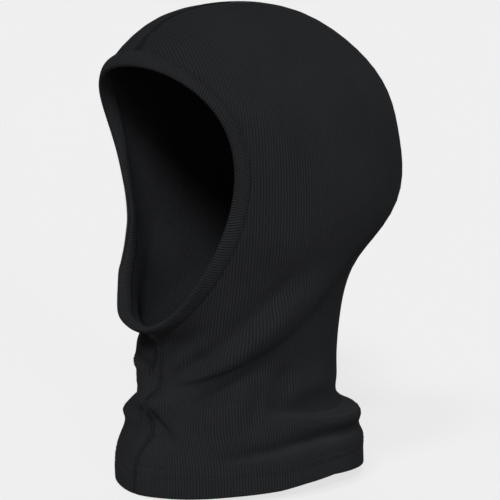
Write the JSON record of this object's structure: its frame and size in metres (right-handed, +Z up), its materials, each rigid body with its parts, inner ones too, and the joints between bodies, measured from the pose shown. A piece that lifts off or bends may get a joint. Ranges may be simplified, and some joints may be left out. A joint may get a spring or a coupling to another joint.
{
  "type": "balaclava",
  "caption": "Open-face knitted hood with a ribbed face band, crown and throat flatlock seams, a folded neck and a turned-up hem.",
  "frame": {"origin": "centre of the bounding box footprint, on the plane the hem stands on", "axes": "+Z up from the hem to the crown, -Y out of the face opening, +X towards the wearer's left"},
  "size_m": [0.1726, 0.2194, 0.3239],
  "materials": {
    "rib_knit": "fine rib knit, matt with a soft sheen",
    "rib_band": "folded elastic rib, matt",
    "seam_thread": "textured sewing thread",
    "label_cloth": "smooth woven tape, blank"
  },
  "bodies": {
    "root": {"left_side_panel": "rib_knit", "right_side_panel": "rib_knit", "face_binding": "rib_band", "crown_seam_outer": "seam_thread", "crown_seam_inner": "seam_thread", "throat_seam_outer": "seam_thread", "throat_seam_inner": "seam_thread", "binding_topstitch": "seam_thread", "binding_overlock": "seam_thread", "binding_join_stitch": "seam_thread", "hem_stitch_upper": "seam_thread", "hem_stitch_lower": "seam_thread", "hem_stitch_inside": "seam_thread", "care_label": "label_cloth", "label_stitch": "seam_thread"}
  },
  "joints": []
}
